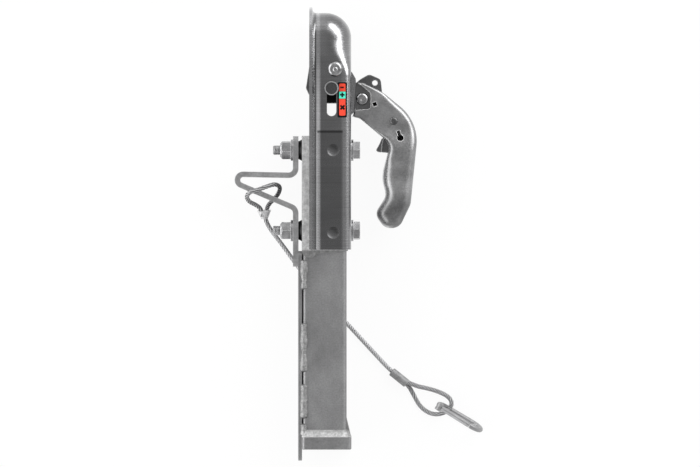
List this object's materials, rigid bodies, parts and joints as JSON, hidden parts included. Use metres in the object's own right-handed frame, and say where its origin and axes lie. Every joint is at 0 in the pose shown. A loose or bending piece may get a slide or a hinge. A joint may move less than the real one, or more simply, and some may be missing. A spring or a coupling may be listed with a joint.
{
  "type": "trailer ball coupler",
  "caption": "Pressed steel ball coupler with lift handle and wear indicator, bolted to a square draw tube with a cable bracket and safety cable.",
  "frame": {"origin": "centre of the 50 mm tow ball when the coupler holds one", "axes": "+Y the towing direction along the draw tube, +X the coupler's upper side with the handle, +Z across the coupler"},
  "size_m": [0.2781, 0.5071, 0.075],
  "materials": {
    "head_steel": "satin",
    "tube_steel": "satin",
    "handle_steel": "satin",
    "rivet_steel": "satin",
    "fastener_steel": "satin",
    "strap_steel": "satin",
    "liner_steel": "satin",
    "weld_metal": "satin",
    "dark_steel": "satin",
    "spring_steel": "satin",
    "cable_steel": "satin",
    "hook_steel": "satin",
    "ferrule_aluminium": "satin",
    "black_spacer": "matte",
    "button_plastic": "satin",
    "label_film": "gloss"
  },
  "bodies": {
    "coupler": {"coupler_housing": "head_steel", "jaw_pivot_rivet": "rivet_steel", "pivot_yoke": "dark_steel", "handle_pivot_rivet": "rivet_steel", "indicator_label": "label_film", "main_spring": "spring_steel", "spring_seat": "liner_steel", "tube_liner": "liner_steel", "draw_tube": "tube_steel", "backing_bar": "tube_steel", "foot_plate": "tube_steel", "plate_welds": "weld_metal", "foot_weld": "weld_metal", "coupler_bolts": "fastener_steel", "lock_nuts": "fastener_steel", "head_washers": "fastener_steel", "nut_washers": "fastener_steel", "spacer_washers": "black_spacer", "cable_bracket": "strap_steel", "safety_cable": "cable_steel", "bracket_ferrule": "ferrule_aluminium", "hook_ferrule": "ferrule_aluminium", "snap_hook": "hook_steel", "hook_gate_pin": "hook_steel"},
    "jaw": {"ball_jaw": "dark_steel"},
    "lock": {"locking_wedge": "dark_steel", "indicator_pin": "rivet_steel", "indicator_button": "button_plastic"},
    "handle": {"handle_shell": "handle_steel", "handle_drive_arm": "dark_steel", "trigger_pivot_rivet": "rivet_steel", "trigger_spring": "spring_steel"},
    "trigger": {"trigger": "dark_steel"},
    "gate": {"hook_gate": "hook_steel"}
  },
  "joints": [
    {"name": "handle_lift", "type": "hinge", "parent": "coupler", "child": "handle", "pos_m": [0.0411, -0.0677, 0], "axis": [0, 0, 1], "range_deg": [0, 40], "stiffness_Nm_per_rad": 3, "springref_deg": -22.92},
    {"name": "lock_slide", "type": "slide", "parent": "coupler", "child": "lock", "axis": [0, -1, 0], "range_m": [0, 0.0251], "deforming": ["main_spring"]},
    {"name": "jaw_swing", "type": "hinge", "parent": "coupler", "child": "jaw", "pos_m": [0.0108, -0.0348, 0], "axis": [0, 0, 1], "range_deg": [0, 16.1]},
    {"name": "trigger_press", "type": "hinge", "parent": "handle", "child": "trigger", "pos_m": [0.0762, -0.0924, 0], "axis": [0, 0, 1], "range_deg": [0, 5], "stiffness_Nm_per_rad": 0.15, "springref_deg": -20.05},
    {"name": "hook_gate_swing", "type": "hinge", "parent": "coupler", "child": "gate", "pos_m": [0.12778, -0.41275, -0.01625], "axis": [0.4983, 0.8499, 0.171], "range_deg": [0, 22], "stiffness_Nm_per_rad": 0.03, "springref_deg": -22.92}
  ],
  "couplings": [
    {"joint": "lock_slide", "follows": "handle_lift", "m_per_rad": 0.03581},
    {"joint": "jaw_swing", "follows": "handle_lift", "ratio": 0.4}
  ]
}
